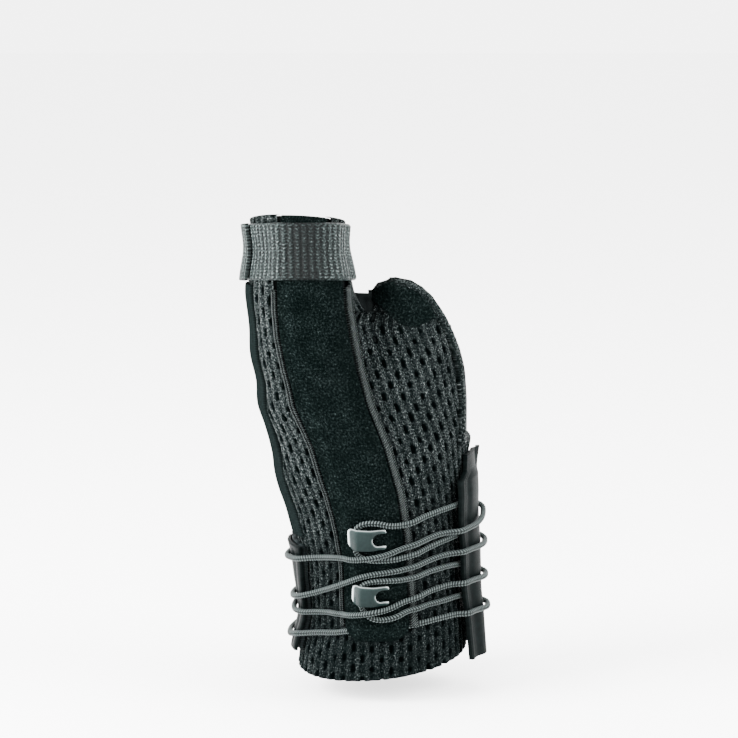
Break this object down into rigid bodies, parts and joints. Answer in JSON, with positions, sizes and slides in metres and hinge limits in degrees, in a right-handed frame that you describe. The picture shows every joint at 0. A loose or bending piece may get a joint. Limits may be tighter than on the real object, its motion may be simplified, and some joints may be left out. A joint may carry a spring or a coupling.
{
  "type": "thumb spica splint",
  "caption": "Right-hand thumb spica splint: soft mesh wrist wrap with thumb sleeve, stay pocket, thumb strap and side lacing over two hooks.",
  "frame": {"origin": "centre of the wrist opening, where the splint sits round the wrist", "axes": "+Z along the forearm towards the thumb tip, -Y out of the thumb side that the picture looks at, +X towards the back of the hand and -X towards the palm"},
  "size_m": [0.0833, 0.0764, 0.1538],
  "materials": {
    "mesh": "matte knitted spacer mesh",
    "velour": "brushed loop cloth, dull",
    "facing": "brushed loop cloth, dull",
    "seam": "stitched ribbed tape",
    "binding": "smooth elastic binding",
    "strap": "ribbed woven tape with a satin sheen",
    "belt": "smooth laminated elastic",
    "strip": "smooth laminated cloth",
    "lace": "round braided cord, satin",
    "hook": "glossy moulded hook"
  },
  "bodies": {
    "root": {"mesh_wrap": "mesh", "stay_cover": "velour", "seam_rib_palm": "seam", "seam_rib_dorsal": "seam", "sleeve_edge_band": "binding", "web_facing": "facing", "web_binding": "binding", "thumb_strap": "strap", "thumb_strap_end": "strap", "wrist_belt": "belt", "palm_lace_strip": "strip", "dorsal_lace_strip": "strip", "hook_upper": "hook", "hook_lower": "hook", "lace_long_run": "lace", "lace_short_run": "lace"}
  },
  "joints": []
}
